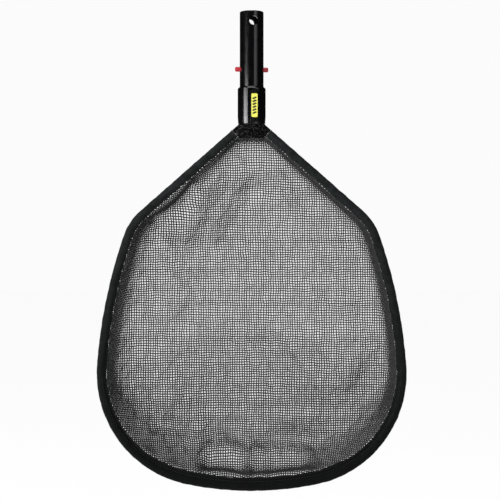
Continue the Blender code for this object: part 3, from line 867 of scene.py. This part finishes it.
def add_folds(x, z, depth, loose):
    """Raises each fold, and draws the cloth in from both sides as a fold takes it up."""
    for x0, z0, x1, z1, height, half in FOLDS:
        line = np.array([x1 - x0, z1 - z0]) * MM
        length = math.hypot(*line)
        ux, uz = line / length
        run = (x - x0 * MM) * ux + (z - z0 * MM) * uz
        off = (x - x0 * MM) * uz - (z - z0 * MM) * ux
        start, end = smoothstep(run / FOLD_FADE + 0.5), smoothstep((length - run) / FOLD_FADE + 0.5)
        ends = start * end * loose
        across = off / (half * MM)
        depth = depth - ends * height * MM * np.exp(-(across**2))
        slope_part = (height / half) ** 2 * half * MM * 0.31
        drawn = slope_part * np.tanh(1.3 * across) * np.exp(-((off / FOLD_DRAWS) ** 2)) * ends
        x, z = x - drawn * uz, z + drawn * ux
    return x, z, depth


def net_grid():
    """Every crossing of the weave: its place in the bag, if the cloth reaches it, and how bunched."""
    edge = rim_edge()
    margin = EASE + MOST_GATHERED + HEM_TUCK + 2 * PITCH
    wide = np.abs(edge[:, 0]).max() + margin
    columns = int(wide / PITCH)
    across = np.arange(-columns, columns + 1) * PITCH
    low_z = edge[:, 1].min() - margin
    rows = int((NET_TOP + TOP_SCALE * margin - low_z) / PITCH)
    down = low_z + np.arange(rows) * PITCH
    x, z = np.meshgrid(across, down, indexing="ij")
    distance, along_edge = edge_distance(x, z, edge)
    distance = softened(distance, HEM_BLUR)
    slope_x, slope_z = np.gradient(distance, PITCH)
    hem_x, hem_z = x - slope_x * distance, z - slope_z * distance

    below = np.clip((NET_TOP - z) / TOP_SLOPE, 0, 1)
    scale = TOP_SCALE + (1 - TOP_SCALE) * below * (2 - below)
    right = smoothstep(hem_x / (120 * MM) + 0.5)
    low = smoothstep((-hem_z - 340 * MM) / (90 * MM)) * (1 - 0.3 * right)

    def blend(usual, to_right, at_bottom):
        sides = usual + (to_right - usual) * right
        return sides + (at_bottom - sides) * low

    ease = (EASE + LOW_EASE * low) * scale
    rounding = blend(ROUNDING, RIGHT_ROUNDING, LOW_ROUNDING) * scale
    wall_angle = blend(WALL_ANGLE, RIGHT_ANGLE, LOW_ANGLE)
    lip, lean, gathered = lips(along_edge, edge)
    ease = ease + gathered
    run = distance + ease
    plain = np.full(run.shape, HEM_LIP)
    inset, depth = wall_profile(run, ease, rounding, plain, HEM_LEAN, wall_angle, plain)
    sight = (slope_x * hem_x + slope_z * (hem_z - SIGHT_Z)) / CAMERA_DISTANCE
    edge_on = 90.0 - np.degrees(np.arctan(sight))
    turned_back = smoothstep((lip - HEM_LIP) / LIP_RISE)
    lip_angle = wall_angle + (edge_on - wall_angle) * turned_back
    lip_inset, lip_depth = wall_profile(run, ease, rounding, lip, lean, lip_angle, 0.2 * MM + 0.85 * lip)
    told = turned_back * (1 - smoothstep((run - 1.2 * lip) / LIP_TOLD))
    inset = inset + (lip_inset - inset) * told
    depth = depth + (lip_depth - depth) * told
    away = smoothstep((distance - BLUR_FROM) / BLUR_OVER)
    depth = depth + (softened(depth, FLOOR_BLUR) - depth) * away
    shift = (inset - distance) * (1 - smoothstep((distance - SHIFT_FROM) / SHIFT_OVER))
    x2 = x + slope_x * shift
    z2 = z + slope_z * shift
    calm = 0.2 + 0.8 * smoothstep((distance + 5 * MM) / (25 * MM))
    settled = smoothstep(run / (70 * MM))
    depth = depth + settled * (SAG * waves(31, 12, 45 * MM, 150 * MM)(x, z))
    depth = depth + settled * (RIPPLE * waves(32, 10, 12 * MM, 40 * MM)(x, z))
    depth = depth + CROWN * np.exp(-((x / CROWN_WIDE) ** 2) - ((z - CROWN_Z) / CROWN_HIGH) ** 2)
    x2, z2, depth = add_folds(x2, z2, depth, smoothstep(run / (45 * MM)))
    spare = DEEPEST - LEVEL_FROM
    depth = np.minimum(depth, LEVEL_FROM) + spare * np.tanh(np.clip(depth - LEVEL_FROM, 0, None) / spare)
    x2 = x2 + calm * SWAY * waves(33, 12, 9 * MM, 60 * MM)(x, z)
    z2 = z2 + calm * SWAY * waves(34, 12, 9 * MM, 60 * MM)(x, z)
    jitter = np.random.default_rng(35)
    x2 = x2 + calm * jitter.normal(0, JITTER, x.shape)
    z2 = z2 + calm * jitter.normal(0, JITTER, x.shape)
    bunched = turned_back * np.exp(-(((run - 1.15 * lip - BUNCHED_PAST) / BUNCHED_HALF) ** 2))
    return np.stack([x2, depth, z2], -1), run > -HEM_TUCK, bunched


def threads(places, reached, bunched, along_axis, over_first):
    """Box-section threads along one axis of the grid, each passing over and under in turn."""
    if along_axis == 0:
        places, reached, bunched = places.transpose(1, 0, 2), reached.T, bunched.T
    along = unit(np.gradient(places, axis=1))
    other = unit(np.gradient(places, axis=0))
    normal = unit(np.cross(along, other))
    side = unit(np.cross(normal, along))
    lines, spots = reached.shape
    parity = (np.arange(lines)[:, None] + np.arange(spots)[None, :] + over_first) % 2
    lift = np.where(parity == 0, 0.5, -0.5) * THREAD_THICK
    middle = places + normal * lift[..., None]
    uneven = np.random.default_rng(41 + along_axis).uniform(0.92, 1.08, (lines, 1))
    low = smoothstep((-places[..., 2] - 270 * MM) / (130 * MM))
    half_wide = (uneven * (1 + LOW_THICKER * low + BUNCHED_WIDER * bunched) * THREAD_WIDE / 2)[..., None]
    corners = ((1, 1), (-1, 1), (-1, -1), (1, -1))
    ring = np.stack(
        [middle + side * half_wide * a + normal * (b * THREAD_THICK / 2) for a, b in corners], axis=2
    )
    verts, faces = [], []
    count = 0
    for line in range(lines):
        start = None  # of a stretch that the cloth reaches
        for spot in range(spots + 1):
            live = spot < spots and reached[line, spot]
            if live and start is None:
                start = spot
            if not live and start is not None:
                if spot - start >= 3:
                    verts.append(ring[line, start:spot].reshape(-1, 3))
                    faces += ring_faces(spot - start, 4, count)
                    count += 4 * (spot - start)
                start = None
    return np.concatenate(verts), faces


places, reached, bunched = net_grid()
for thread_name, thread_axis in (("net_warp", 1), ("net_weft", 0)):
    verts, faces = threads(places, reached, bunched, thread_axis, thread_axis)
    piece(thread_name, verts.tolist(), faces, NET_YARN)
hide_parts("mesh_bag")
